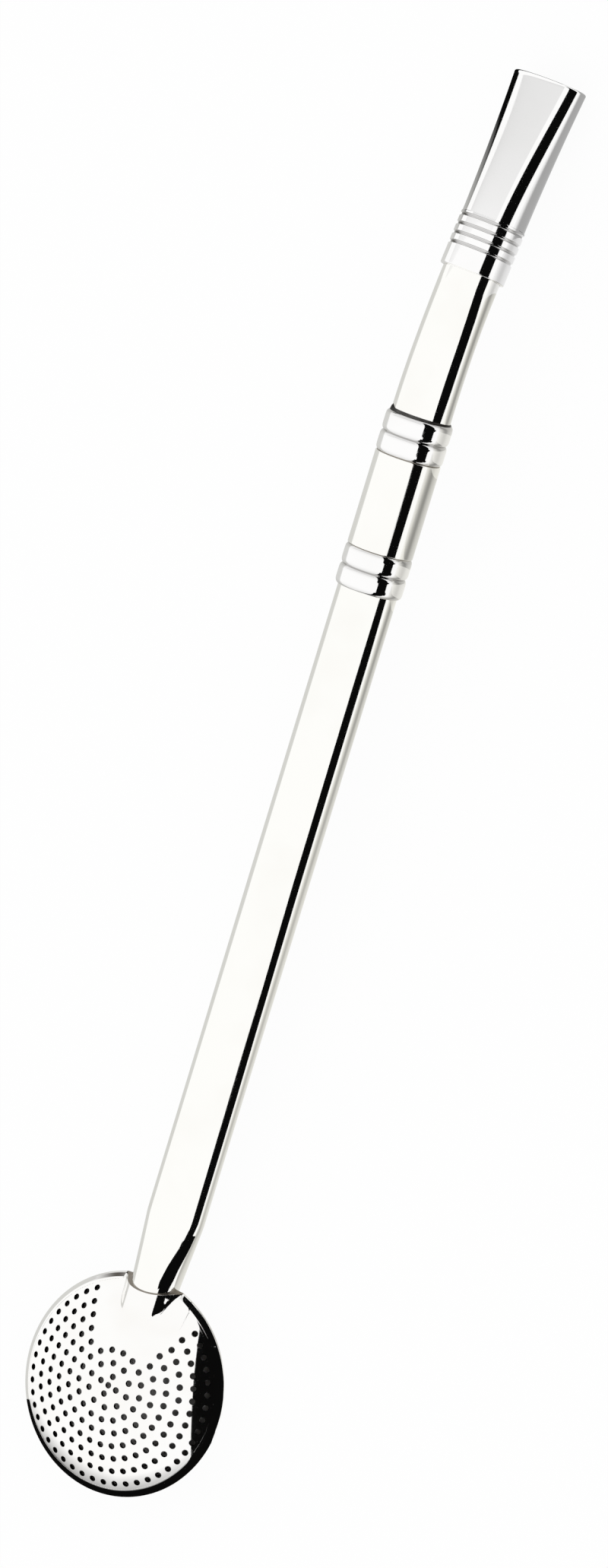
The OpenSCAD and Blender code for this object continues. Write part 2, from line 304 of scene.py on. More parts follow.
def pressed_dish(name, side, places):
    """A dish: skin, underside, hole walls with rolled edges, and the sheet's cut edge."""
    flat, triangles, outline, loops = punched_blank(FLANGE, places)
    x, y = flat.T
    skin = np.column_stack([x, y, dish_height(x, y)])
    normal = dish_normal(x, y)
    in_neck = skin[:, 2] - rim_height(x, y) > NECK_STANDS_OUT
    upright = (np.clip((np.hypot(x, y) - UPRIGHT_FROM) / UPRIGHT_OVER, 0, 1) * ~in_neck)[:, None]
    inward = normal * (1 - upright) + np.array([0, 0, 1.0]) * upright
    under = skin - SHEET * inward / np.linalg.norm(inward, axis=1)[:, None]

    count = len(flat)
    points = [skin, under]
    faces = [list(t) for t in triangles] + [[v + count for v in t[::-1]] for t in triangles]
    normals = [normal[v] for t in triangles for v in t]
    normals += [-normal[v] for t in triangles for v in t[::-1]]
    dull = [0] * len(triangles) + [1] * len(triangles)
    top = 2 * count
    axes = dish_normal(*places.T)
    centres = np.column_stack([places, dish_height(*places.T)])
    for loop, centre, axis in zip(loops, centres, axes):
        radial = skin[loop] - centre
        radial -= np.outer(radial @ axis, axis)
        radial /= np.linalg.norm(radial, axis=1)[:, None]
        points.append(centre + HOLE_RADIUS * radial - HOLE_EDGE_DEPTH * axis)
        rolled = HOLE_EDGE_UP * axis - HOLE_EDGE_IN * radial
        rolled /= np.linalg.norm(rolled, axis=1)[:, None]
        for i in range(HOLE_SIDES):
            j = (i + 1) % HOLE_SIDES
            faces.append([loop[j], loop[i], top + i, top + j])
            normals += [normal[loop[j]], normal[loop[i]], rolled[i], rolled[j]]
            faces.append([top + j, top + i, loop[i] + count, loop[j] + count])
            normals += [-radial[j], -radial[i], -radial[i], -radial[j]]
            dull += [0, 1]
        top += HOLE_SIDES
    for a, b in zip(outline, outline[1:] + outline[:1]):
        faces.append([b, a, a + count, b + count])
        normals += [np.zeros(3)] * 4
        dull.append(0)
    points, normals = np.vstack(points), np.array(normals)
    points[:, 2] = side * points[:, 2] + (SEAM_GAP if side > 0 else 0)
    normals[:, 2] *= side
    if side < 0:
        corners, start = [], 0
        for f in faces:
            corners += list(range(start + len(f) - 1, start - 1, -1))
            start += len(f)
        faces, normals = [f[::-1] for f in faces], normals[corners]
    piece = new_piece(name, points, faces, normals)
    piece.data.materials.append(pressed_steel)
    piece.data.materials.append(dull_inside)
    piece.data.polygons.foreach_set("material_index", dull)
    return piece


def put(tree, kind, place, **sockets):
    """A new node; each input, by its name or _number, takes a value or a link from a socket."""
    node = tree.nodes.new(kind)
    node.location = place
    for key, value in sockets.items():
        socket = node.inputs[int(key[1:])] if key[1:].isdigit() else node.inputs[key.replace("_", " ")]
        if isinstance(value, bpy.types.NodeSocket):
            tree.links.new(value, socket)
        else:
            socket.default_value = value
    return node


def mixed_colour(tree, place, share):
    """A node that mixes two colours by a share; the colours are left to the caller."""
    mix = tree.nodes.new("ShaderNodeMix")
    mix.data_type = "RGBA"
    mix.location = place
    tree.links.new(share, mix.inputs[MIX_SHARE])
    return mix


def buffed_steel_group():
    """Fine polishing marks and a faint uneven film: gives colour, roughness and the marks' height."""
    tree = bpy.data.node_groups.new("buffed_steel", "ShaderNodeTree")
    for label, kind in (("Place", "Vector"), ("Marks per metre", "Vector"), ("Metal", "Color"),
                        ("Film", "Color"), ("Smoothest", "Float"), ("Roughest", "Float")):
        tree.interface.new_socket(label, in_out="INPUT", socket_type="NodeSocket" + kind)
    for label, kind in (("Color", "Color"), ("Roughness", "Float"), ("Height", "Float")):
        tree.interface.new_socket(label, in_out="OUTPUT", socket_type="NodeSocket" + kind)
    given = tree.nodes.new("NodeGroupInput")
    result = tree.nodes.new("NodeGroupOutput")
    drawn = put(tree, "ShaderNodeVectorMath", (-700, 0), _0=given.outputs["Place"],
                _1=given.outputs["Marks per metre"])
    drawn.operation = "MULTIPLY"
    marks = put(tree, "ShaderNodeTexNoise", (-500, 0), Vector=drawn.outputs[0], Scale=1.0,
                Detail=MARK_DETAIL)
    film = put(tree, "ShaderNodeTexNoise", (-500, -250), Vector=given.outputs["Place"],
               Scale=FILM_PER_METRE, Detail=FILM_DETAIL)
    patches = put(tree, "ShaderNodeMapRange", (-300, -250), Value=film.outputs[0],
                  _1=FILM_RANGE[0], _2=FILM_RANGE[1])
    tone = mixed_colour(tree, (-100, -250), patches.outputs[0])
    tree.links.new(given.outputs["Metal"], tone.inputs[MIX_FIRST])
    tree.links.new(given.outputs["Film"], tone.inputs[MIX_SECOND])
    sheen = put(tree, "ShaderNodeMapRange", (-100, 0), Value=marks.outputs[0], _1=MARK_RANGE[0],
                _2=MARK_RANGE[1], _3=given.outputs["Smoothest"], _4=given.outputs["Roughest"])
    tree.links.new(tone.outputs[MIX_RESULT], result.inputs["Color"])
    tree.links.new(sheen.outputs[0], result.inputs["Roughness"])
    tree.links.new(marks.outputs[0], result.inputs["Height"])
    return tree


BUFFED_STEEL = buffed_steel_group()


def steel(name, metal, film, marks, smoothest, roughest, bump):
    """Polished stainless steel; marks are per metre across, along and through the straw.

    A mesh may say in its painted_shade attribute how much painted shade, a darker colour standing in for
    shade, lies at each point.
    """
    material = bpy.data.materials.new(name)
    material.use_nodes = True
    tree = material.node_tree
    shader = tree.nodes["Principled BSDF"]
    shader.inputs["Metallic"].default_value = 1.0
    where = put(tree, "ShaderNodeTexCoord", (-900, 0))
    look = tree.nodes.new("ShaderNodeGroup")
    look.node_tree = BUFFED_STEEL
    look.location = (-600, 0)
    look.inputs["Marks per metre"].default_value = marks
    look.inputs["Metal"].default_value = (*metal, 1)
    look.inputs["Film"].default_value = (*film, 1)
    look.inputs["Smoothest"].default_value = smoothest
    look.inputs["Roughest"].default_value = roughest
    tree.links.new(where.outputs["Object"], look.inputs["Place"])
    relief = put(tree, "ShaderNodeBump", (-300, -200), Strength=bump, Distance=MARK_DEPTH,
                 Height=look.outputs["Height"])
    # Painted shade: the mesh's attribute darkens the colour where shade is painted.
    painted_shade = put(tree, "ShaderNodeAttribute", (-600, 300))
    painted_shade.attribute_name = "painted_shade"
    tone = mixed_colour(tree, (-300, 200), painted_shade.outputs["Fac"])
    tone.inputs[MIX_SECOND].default_value = PAINTED_SHADE_COLOUR
    tree.links.new(look.outputs["Color"], tone.inputs[MIX_FIRST])
    tree.links.new(tone.outputs[MIX_RESULT], shader.inputs["Base Color"])
    tree.links.new(look.outputs["Roughness"], shader.inputs["Roughness"])
    tree.links.new(relief.outputs[0], shader.inputs["Normal"])
    return material


pressed_steel = steel("pressed_steel", metal=(0.985, 0.98, 0.965), film=(0.96, 0.945, 0.92),
                      marks=(900, 900, 900), smoothest=0.03, roughest=0.07, bump=0.01)

dull_inside = steel("dull_inside", metal=(0.5, 0.49, 0.48), film=(0.36, 0.35, 0.34),
                    marks=(500, 500, 500), smoothest=0.35, roughest=0.6, bump=0.05)

strainer_back = pressed_dish("strainer_back_dish", -1, np.empty((0, 2)))
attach(strainer_back, "root")
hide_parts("strainer_back")

strainer_front = pressed_dish("strainer_front_dish", 1, hole_places())
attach(strainer_front, "root")
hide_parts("strainer_front")


# ROLLED RIM
# The wide edge of the back dish, spun over the front dish's flange to clamp the two together.
# It is the same sheet as the back dish and stops on either side of the neck. Near its left end a dark band
# is painted on its slope: a painted dark reflection.

RIM_STEPS = 260
RIM_GAP_HALF = 4.42
RIM_INNER = 13.95
RIM_TURN = 14.5
RIM_TURN_RISE = 0.05
RIM_TURN_RADIUS = 0.5
RIM_TURN_FROM = -80
RIM_TURN_STEPS = 9
RIM_SLOPE = ((14.985, 0.14), (14.945, 0.225), (14.88, 0.3), (14.76, 0.41), (14.52, 0.635), (14.36, 0.785))
RIM_CROWN = ((14.31, 0.83), (14.26, 0.868), (14.18, 0.922), (14.08, 0.983), (13.99, 1.033), (13.985, 1.0))
RIM_UNDERSIDE = ((14.15, 0.87), (14.4, 0.5), (14.55, 0.1), (14.4, 0.0), (RIM_INNER, 0.0))
# A band on the rim's slope near its left end is darkened: a painted dark reflection.
RIM_SHADE_BAND = (14.3, 14.8)
RIM_SHADE_ABOVE = 0.2
RIM_PAINTED_SHADE = 1.0
RIM_SHADE_AT = math.radians(112)
RIM_SHADE_SPREAD = math.radians(11)


def arc(centre_r, centre_s, radius, start, end, steps):
    """Points of a round corner, in degrees from outward."""
    a = np.radians(np.linspace(start, end, steps))
    return [(centre_r + radius * math.cos(t), centre_s + radius * math.sin(t)) for t in a]


def mark_painted_shade(piece, values):
    """Says for each point of a piece how much painted shade lies there."""
    painted_shade = piece.data.attributes.new("painted_shade", "FLOAT", "POINT")
    painted_shade.data.foreach_set("value", np.concatenate(values).astype(np.float32))


def rolled_rim(name):
    """The rim's section swept round the strainer, from one side of the neck to the other."""
    profile = [(RIM_INNER, -SHEET), (RIM_TURN, -SHEET)]
    profile += arc(RIM_TURN, RIM_TURN_RISE, RIM_TURN_RADIUS, RIM_TURN_FROM, 0, RIM_TURN_STEPS)
    profile += RIM_SLOPE + RIM_CROWN + RIM_UNDERSIDE
    r, z = np.array(profile).T
    half_gap = np.arcsin(RIM_GAP_HALF / r)
    on_slope = (r > RIM_SHADE_BAND[0]) & (r < RIM_SHADE_BAND[1]) & (z > RIM_SHADE_ABOVE)
    n = len(profile)
    points, painted_shades = [], []
    for k in np.linspace(0, 1, RIM_STEPS):
        turn = math.pi / 2 + half_gap + 2 * (math.pi - half_gap) * k
        points.append(np.column_stack([r * np.cos(turn), r * np.sin(turn), z]))
        # Painted dark reflection on the rim's slope near its left end.
        painted_shades.append(RIM_PAINTED_SHADE * on_slope * np.exp(-((turn - RIM_SHADE_AT) / RIM_SHADE_SPREAD) ** 2))
    faces = []
    for k in range(RIM_STEPS - 1):
        for i in range(n):
            j = (i + 1) % n
            faces.append([k * n + i, (k + 1) * n + i, (k + 1) * n + j, k * n + j])
    last = (RIM_STEPS - 1) * n
    faces += [list(range(n)), [last + i for i in range(n - 1, -1, -1)]]
    piece = new_piece(name, np.vstack(points), [f[::-1] for f in faces])
    mark_painted_shade(piece, painted_shades)
    return piece


rim = rolled_rim("strainer_rolled_rim")
rim.data.materials.append(pressed_steel)
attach(rim, "root")
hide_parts("strainer_back")


# STEM TUBE
# A seamless stainless tube, flattened to an oval and buffed lengthwise. Its lower end is drawn down
# to a round that is brazed into the strainer's neck, its upper end sits in the lower ring's socket.

STEM_HALF_W = 4.2
STEM_HALF_T = 3.2
STEM_FLATTENING = ((25, 2.5), (40, 2.62), (70, 3.1), (100, 3.2))
STEM_WALL = 0.5
STEM_END_R = 3.25
STEM_END = 10.4
STEM_IN_NECK = 12.0
TAPER_START = 14.1
TAPER_END = 23.3
TAPER_ROUNDING = 0.35
TAPER_STATIONS = (12.8, 25.0, 0.2)
PLAIN_FROM = 26
PLAIN_STEP = 4
PLAIN_SHORT_OF_TOP = 1
LOWER_RING = 110.9
SOCKET_DEPTH = 3.4
BEND_AT = 134.8
BEND_RADIUS = 94.0
BEND_ANGLE = math.radians(12.1)
AROUND = 144


def on_axis(s, across, up):
    """Place of points that lie across and up from the straw's axis, s from the strainer's centre."""
    over = np.clip(s - BEND_AT, 0, BEND_RADIUS * BEND_ANGLE)
    a = over / BEND_RADIUS
    straight = s - over
    before, after = np.minimum(straight, BEND_AT), np.maximum(straight - BEND_AT, 0)
    y = before + (BEND_RADIUS + up) * np.sin(a) + after * np.cos(a)
    z = (BEND_RADIUS + up) * np.cos(a) - BEND_RADIUS - after * np.sin(a)
    return np.column_stack([across, y, z])


around = 2 * math.pi * np.arange(AROUND) / AROUND


def turned_piece(name, sections, painted_shades=None):
    """Closed solid through a loop of ovals, each (half width, half thickness, place along the axis).

    Painted shades, one for each oval or for each of its points, say how much painted shade lies there.
    """
    points = np.vstack([on_axis(s + np.zeros(AROUND), w * np.cos(around), t * np.sin(around))
                        for w, t, s in sections])
    faces, count = [], len(sections)
    for k in range(count):
        this, following = k * AROUND, (k + 1) % count * AROUND
        for i in range(AROUND):
            j = (i + 1) % AROUND
            faces.append([this + i, following + i, following + j, this + j])
    corner = points[np.array(faces)]
    volume = np.einsum("ij,ij->i", corner[:, 0], np.cross(corner[:, 1], corner[:, 2])).sum()
    volume += np.einsum("ij,ij->i", corner[:, 0], np.cross(corner[:, 2], corner[:, 3])).sum()
    piece = new_piece(name, points, faces if volume > 0 else [f[::-1] for f in faces])
    if painted_shades:
        mark_painted_shade(piece, [np.broadcast_to(shade_share, AROUND) for shade_share in painted_shades])
    return piece


def stem_section(s):
    """Half width and half thickness of the stem, with small radii where the taper starts and ends."""
    def ramp(x):
        return 0.5 * (x + math.sqrt(x * x + TAPER_ROUNDING**2))
    share = (ramp(s - TAPER_START) - ramp(s - TAPER_END)) / (TAPER_END - TAPER_START)
    half_t = np.interp(s, *zip(*STEM_FLATTENING))
    return (STEM_END_R + (STEM_HALF_W - STEM_END_R) * share, STEM_END_R + (half_t - STEM_END_R) * share)


stem_top = LOWER_RING + SOCKET_DEPTH
stem_stations = np.concatenate([[STEM_END, STEM_IN_NECK], np.arange(*TAPER_STATIONS),
                                np.arange(PLAIN_FROM, stem_top - PLAIN_SHORT_OF_TOP, PLAIN_STEP),
                                [stem_top]])
stem_outside = [(*stem_section(s), s) for s in stem_stations]
stem_inside = [(w - STEM_WALL, t - STEM_WALL, s) for w, t, s in stem_outside]
tube_steel = steel("tube_steel", metal=(0.99, 0.985, 0.955), film=(0.97, 0.96, 0.925),
                   marks=(2200, 40, 2200), smoothest=0.03, roughest=0.075, bump=0.012)
stem = turned_piece("stem_tube_drawn", stem_outside + stem_inside[::-1])
stem.data.materials.append(tube_steel)
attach(stem, "root")
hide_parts("stem_tube")


# BEADED RINGS
# Two turned rings with a pair of beads each. An oval socket takes the flattened tube, a spigot goes
# into the sleeve. The socket's end face and the valleys between the beads are darkened with painted shade.

BEAD_LEN = 2.75
BEAD_HEIGHT = 0.32
BEAD_OUTER_R = 4.55
BEAD_FLATNESS = 6
BEAD_STEPS = 33
BEAD_LEAN = 1.45
COLLAR_R = 4.22
SOCKET_ROOM = (0.01, 0.03)
# Painted shade on the socket's end face, at the collar and in the valleys between the beads.
SOCKET_PAINTED_SHADE = 0.8
SPIGOT_PAINTED_SHADE = 0.5
VALLEY_PAINTED_SHADE = 0.42
VALLEY_FROM = 0.5
SPIGOT_R = 3.85
SPIGOT_LEN = 3.0
FLOW_R = 2.3
SLEEVE_AT = 116.45
UPPER_RING_END = BEND_AT


def tube_oval(wider, thicker):
    """Half width and half thickness of the flattened tube, a little larger or smaller."""
    return STEM_HALF_W + wider, STEM_HALF_T + thicker


def ring_sections(socket_end, way):
    """Ovals of a ring from its socket's end face, and their painted shade; way is 1 towards the mouth."""
    socket = tube_oval(*SOCKET_ROOM)
    loop = [(*socket, SOCKET_DEPTH), (*socket, 0.0), (COLLAR_R, COLLAR_R, 0.0)]
    # The socket's end face is darkened: painted shade of the gap at the tube.
    painted_shades = [SOCKET_PAINTED_SHADE, SOCKET_PAINTED_SHADE, SPIGOT_PAINTED_SHADE]
    for bead in range(2):
        middle = (bead + 0.5) * BEAD_LEN
        for lean in np.linspace(-BEAD_LEAN, BEAD_LEAN, BEAD_STEPS):
            share = math.sin(lean) / math.sin(BEAD_LEAN)
            r = BEAD_OUTER_R - BEAD_HEIGHT * abs(share) ** BEAD_FLATNESS
            loop.append((r, r, middle + share * BEAD_LEN / 2))
            # The valleys between the beads are darkened: painted shade in the creases.
            in_valley = max(abs(share) - VALLEY_FROM, 0) / (1 - VALLEY_FROM)
            painted_shades.append(VALLEY_PAINTED_SHADE * in_valley**2)
    spigot_end = 2 * BEAD_LEN + SPIGOT_LEN
    loop += [(SPIGOT_R, SPIGOT_R, 2 * BEAD_LEN), (SPIGOT_R, SPIGOT_R, spigot_end)]
    loop += [(FLOW_R, FLOW_R, spigot_end), (FLOW_R, FLOW_R, SOCKET_DEPTH)]
    painted_shades += [SPIGOT_PAINTED_SHADE] * 4
    return [(w, t, socket_end + way * s) for w, t, s in loop], painted_shades


turned_steel = steel("turned_steel", metal=(0.985, 0.98, 0.975), film=(0.965, 0.96, 0.95),
                     marks=(60, 3000, 60), smoothest=0.03, roughest=0.08, bump=0.01)
for ring_name, node, socket_end, way in (("lower_ring_turned", "lower_ring", LOWER_RING, 1),
                                         ("upper_ring_turned", "upper_ring", UPPER_RING_END, -1)):
    beaded_ring = turned_piece(ring_name, *ring_sections(socket_end, way))
    beaded_ring.data.materials.append(turned_steel)
    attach(beaded_ring, "root")
    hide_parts(node)


# PLAIN SLEEVE
# A short length of round tube between the two rings, slid over their spigots and brazed.
# It is buffed lengthwise like the stem, with its edges just broken.

SLEEVE_R = 4.45
SLEEVE_BORE_R = 3.9
SLEEVE_LEN = 12.8
SLEEVE_EDGE = 0.1
SLEEVE_EDGE_STEPS = 5
EDGE_RUN = 0.02

sleeve_end = SLEEVE_AT + SLEEVE_LEN
sleeve_profile = arc(SLEEVE_R - SLEEVE_EDGE, SLEEVE_AT + SLEEVE_EDGE, SLEEVE_EDGE, -90, 0,
                     SLEEVE_EDGE_STEPS)
sleeve_profile += [(SLEEVE_R, SLEEVE_AT + SLEEVE_EDGE + EDGE_RUN)]
sleeve_profile += [(SLEEVE_R, sleeve_end - SLEEVE_EDGE - EDGE_RUN)]
sleeve_profile += arc(SLEEVE_R - SLEEVE_EDGE, sleeve_end - SLEEVE_EDGE, SLEEVE_EDGE, 0, 90,
                      SLEEVE_EDGE_STEPS)
sleeve_profile += [(SLEEVE_BORE_R, sleeve_end), (SLEEVE_BORE_R, SLEEVE_AT)]
sleeve = turned_piece("mid_sleeve_buffed", [(r, r, s) for r, s in sleeve_profile])
sleeve.data.materials.append(tube_steel)
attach(sleeve, "root")
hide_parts("mid_sleeve")


# BRAZED SEAMS
# Filler metal that shows at the joints: brownish lines round the strainer's neck and at both ends of
# the sleeve, and a dark fillet where the upper tube leaves its ring, thicker on the left. The fillet's
# near-black is painted shadow of the gap between tube and ring. The neck's seam is braze, and its swell
# at the corners beside the stem paints the shade of the gaps there.

SEAM_R = 4.3
SEAM_ROOT_R = SPIGOT_R + 0.1
SEAM_CROWN = 0.03
SEAM_HALF_WIDTH = 0.13
SEAM_INTO_RING = 0.02
NECK_SEAM_RISE = 0.13
NECK_SEAM_DEPTH = 0.25
NECK_SEAM_BITE = 0.05
NECK_SEAM_UNDER = 0.12
NECK_SEAM_EDGE = ((0.02, 0.01), (0.2, 0.06))
# The neck's braze swells and runs deeper at the corners beside the stem: painted shade of the gaps there.
CORNER_SHADE_SWELL = 0.14
CORNER_SHADE_DEPTH = 0.55
CORNER_SHADE_WIDTH = 0.17
FILLET_R = 4.2
FILLET_FOOT = 0.05
FILLET_BITE = 0.1
FILLET_TIP = 0.02
FILLET_BULGE = (0.06, 0.35)
FILLET_BULGE_AT = 0.7
FILLET_RISE = 0.34
FILLET_RUN_OUT = math.radians(148)
FILLET_RUN_SHARE = 1.2
FILLET_RUN_WIDTH = 0.16

braze = steel("braze", metal=(0.30, 0.27, 0.23), film=(0.16, 0.14, 0.12),
              marks=(700, 700, 700), smoothest=0.25, roughest=0.5, bump=0.06)
# Near-black braze: painted shadow in the gap where the upper tube leaves its ring.
painted_shadow_braze = steel("painted_shadow_braze", metal=(0.03, 0.027, 0.025), film=(0.012, 0.011, 0.01),
                       marks=(700, 700, 700), smoothest=0.3, roughest=0.55, bump=0.08)

for seam_name, middle in (("lower_seam_brazed", SLEEVE_AT - SEAM_INTO_RING),
                          ("upper_seam_brazed", sleeve_end + SEAM_INTO_RING)):
    low, high = middle - SEAM_HALF_WIDTH, middle + SEAM_HALF_WIDTH
    seam_profile = [(SEAM_ROOT_R, low), (SEAM_R - SEAM_CROWN, low), (SEAM_R, middle),
                    (SEAM_R - SEAM_CROWN, high), (SEAM_ROOT_R, high)]
    seam = turned_piece(seam_name, [(r, r, s) for r, s in seam_profile])
    seam.data.materials.append(braze)
    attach(seam, "root")

flank = math.acos(NECK_RADIUS / NECK_FOOT)
neck_r = NECK_RADIUS / np.cos(np.maximum(flank - np.arccos(np.abs(np.cos(around))), 0))
lip = NECK_LIP - LIP_SLANT * neck_r * np.abs(np.sin(around)) / NECK_RADIUS
# Braze swelling at the corners: painted shade of the gap.
shade_by_corner = np.exp(-(np.sin(around) / CORNER_SHADE_WIDTH) ** 2)
neck_seam_r = neck_r + CORNER_SHADE_SWELL * shade_by_corner
neck_seam_foot = lip - NECK_SEAM_DEPTH - CORNER_SHADE_DEPTH * shade_by_corner
neck_seam_profile = [(STEM_END_R - NECK_SEAM_BITE, neck_seam_foot),
                     (neck_seam_r - NECK_SEAM_UNDER, neck_seam_foot)]
neck_seam_profile += [(neck_seam_r - inward, lip + above) for inward, above in NECK_SEAM_EDGE]
neck_seam_profile += [(STEM_END_R + NECK_SEAM_BITE, lip + NECK_SEAM_RISE),
                      (STEM_END_R - NECK_SEAM_BITE, lip + NECK_SEAM_RISE)]
neck_seam = turned_piece("neck_seam_brazed", [(r, r, s) for r, s in neck_seam_profile])
neck_seam.data.materials.append(braze)
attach(neck_seam, "root")

# The fillet is thicker at the left: painted shadow.
run_out = np.exp(-((around - FILLET_RUN_OUT) / FILLET_RUN_WIDTH) ** 2)
rise = FILLET_RISE * (1 + FILLET_RUN_SHARE * run_out)
fillet = turned_piece("upper_fillet_painted_shadow", [
    (*tube_oval(-FILLET_BITE, -FILLET_BITE), BEND_AT - FILLET_FOOT),
    (FILLET_R, FILLET_R, BEND_AT - FILLET_FOOT),
    (FILLET_R, FILLET_R, BEND_AT + FILLET_FOOT),
    (*tube_oval(*FILLET_BULGE), BEND_AT + FILLET_BULGE_AT * rise),
    (*tube_oval(-FILLET_TIP, -FILLET_TIP), BEND_AT + rise),
    (*tube_oval(-FILLET_BITE, -FILLET_BITE), BEND_AT + rise)])
fillet.data.materials.append(painted_shadow_braze)
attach(fillet, "root")


# UPPER TUBE
# A short piece of the same flattened tube with the bend that tips the mouthpiece to the drinker.
# It grows rounder towards the ferrule, where it is brazed in.

UPPER_TOP_HALF_W = 4.05
UPPER_TOP_HALF_T = 3.42
UPPER_FLATTENING = ((0, STEM_HALF_T), (0.5, 3.12), (0.7, 3.2), (0.9, 3.42), (1, UPPER_TOP_HALF_T))
BEND_STATIONS = 60
FERRULE_SOCKET = 3.27
TUBE_END_GAP = 0.05

bend_len = BEND_RADIUS * BEND_ANGLE
bend_end = BEND_AT + bend_len


def eased(k):
    """0 to 1, slow at both ends."""
    return k * k * (3 - 2 * k)


upper_outside = [(STEM_HALF_W, STEM_HALF_T, BEND_AT - SOCKET_DEPTH)]
for k in np.linspace(0, 1, BEND_STATIONS):
    upper_outside.append((STEM_HALF_W + (UPPER_TOP_HALF_W - STEM_HALF_W) * eased(k),
                          np.interp(k, *zip(*UPPER_FLATTENING)), BEND_AT + bend_len * k))
upper_outside.append((UPPER_TOP_HALF_W, UPPER_TOP_HALF_T, bend_end + FERRULE_SOCKET - TUBE_END_GAP))
upper_inside = [(w - STEM_WALL, t - STEM_WALL, s) for w, t, s in upper_outside]
upper = turned_piece("upper_tube_bent", upper_outside + upper_inside[::-1])
upper.data.materials.append(tube_steel)
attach(upper, "root")
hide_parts("upper_tube")


# FERRULE
# A turned collar with a plain band and four fine grooves, brazed on the upper tube.
# The mouthpiece's spigot sits in its other end. The grooves are darkened with painted shade, most of it on
# the left.

FERRULE_R = 4.45
FERRULE_LEN = 7.47
FERRULE_FOOT = 0.05
FERRULE_EDGE = 0.15
FERRULE_EDGE_STEPS = 6
FERRULE_TOP_EDGE = 0.03
SOCKET_GAP = 0.02
BAND_LEN = 3.1
GROOVE_PITCH = 1.29
GROOVE_COUNT = 4
GROOVE_R = 0.25
GROOVE_CENTRE_R = 4.5
GROOVE_STEPS = 13
# Painted shade in the grooves, darker at the left.
GROOVE_PAINTED_SHADE = 0.4
LEFT_PAINTED_SHADE = 0.6
LEFT_SHADE_AT = math.radians(133)
LEFT_SHADE_SPREAD = 0.28
MOUTH_SPIGOT_R = 3.75
MOUTH_SOCKET = 3.05

# The grooves are darkened all round and more at the left: painted shade.
groove_shade = GROOVE_PAINTED_SHADE + LEFT_PAINTED_SHADE * np.exp(-((around - LEFT_SHADE_AT) / LEFT_SHADE_SPREAD) ** 2)
groove_reach = math.degrees(math.asin((GROOVE_CENTRE_R - FERRULE_R) / GROOVE_R))
band_from = FERRULE_FOOT + FERRULE_EDGE
ferrule_profile = arc(FERRULE_R - FERRULE_EDGE, band_from, FERRULE_EDGE, -90, 0, FERRULE_EDGE_STEPS)
ferrule_profile += [(FERRULE_R, band_from + EDGE_RUN)]
ferrule_shades = [0.0] * len(ferrule_profile)
for groove in range(GROOVE_COUNT):
    middle = BAND_LEN + groove * GROOVE_PITCH
    ferrule_profile += arc(GROOVE_CENTRE_R, middle, GROOVE_R, 270 - groove_reach, 90 + groove_reach,
                           GROOVE_STEPS)
    ferrule_shades += [groove_shade * math.sin(k * math.pi / (GROOVE_STEPS - 1))
                       for k in range(GROOVE_STEPS)]
mouth_socket_r, mouth_socket_end = MOUTH_SPIGOT_R + SOCKET_GAP, FERRULE_LEN - MOUTH_SOCKET
ferrule_profile += [(FERRULE_R - FERRULE_TOP_EDGE, FERRULE_LEN), (mouth_socket_r, FERRULE_LEN)]
ferrule_profile += [(mouth_socket_r, mouth_socket_end), (FLOW_R, mouth_socket_end)]
ferrule_sections = [(r, r, bend_end + s) for r, s in ferrule_profile]
tube_socket_end = FERRULE_SOCKET + SOCKET_GAP
ferrule_sections += [(FLOW_R, FLOW_R, bend_end + tube_socket_end)]
ferrule_sections += [(UPPER_TOP_HALF_W + SOCKET_GAP, UPPER_TOP_HALF_T + SOCKET_GAP, bend_end + s)
                     for s in (tube_socket_end, FERRULE_FOOT)]
ferrule_shades += [0.0] * (len(ferrule_sections) - len(ferrule_shades))
ferrule = turned_piece("mouth_ferrule_turned", ferrule_sections, ferrule_shades)
ferrule.data.materials.append(turned_steel)
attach(ferrule, "root")
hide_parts("mouth_ferrule")


# MOUTHPIECE
# A short tube, round at its root and squeezed over a former to a wide flat oval at the lips.
# The rim is rounded off for the mouth, and the whole is polished bright.

MOUTH_ROOT = 7.52
MOUTH_END = 27.37
MOUTH_ROOT_R = 4.35
LIP_HALF_W = 5.3
LIP_HALF_T = 3.35
WIDENING = 1.5
SQUEEZE_EASE = 0.5
MOUTH_WALL = 0.7
MOUTH_BORE_FROM = 0.04
LIP_ROUND = 0.3
LIP_STEPS = 13
MOUTH_STATIONS = 60


def mouth_section(k, inset):
    """Half width, half thickness and place of the mouthpiece, a share k of the way to the lips."""
    squeeze = (1 - SQUEEZE_EASE) * k + SQUEEZE_EASE * eased(k)
    w = MOUTH_ROOT_R + (LIP_HALF_W - MOUTH_ROOT_R) * k**WIDENING
    t = MOUTH_ROOT_R + (LIP_HALF_T - MOUTH_ROOT_R) * squeeze
    return (w - inset, t - inset, bend_end + MOUTH_ROOT + (MOUTH_END - MOUTH_ROOT) * k)


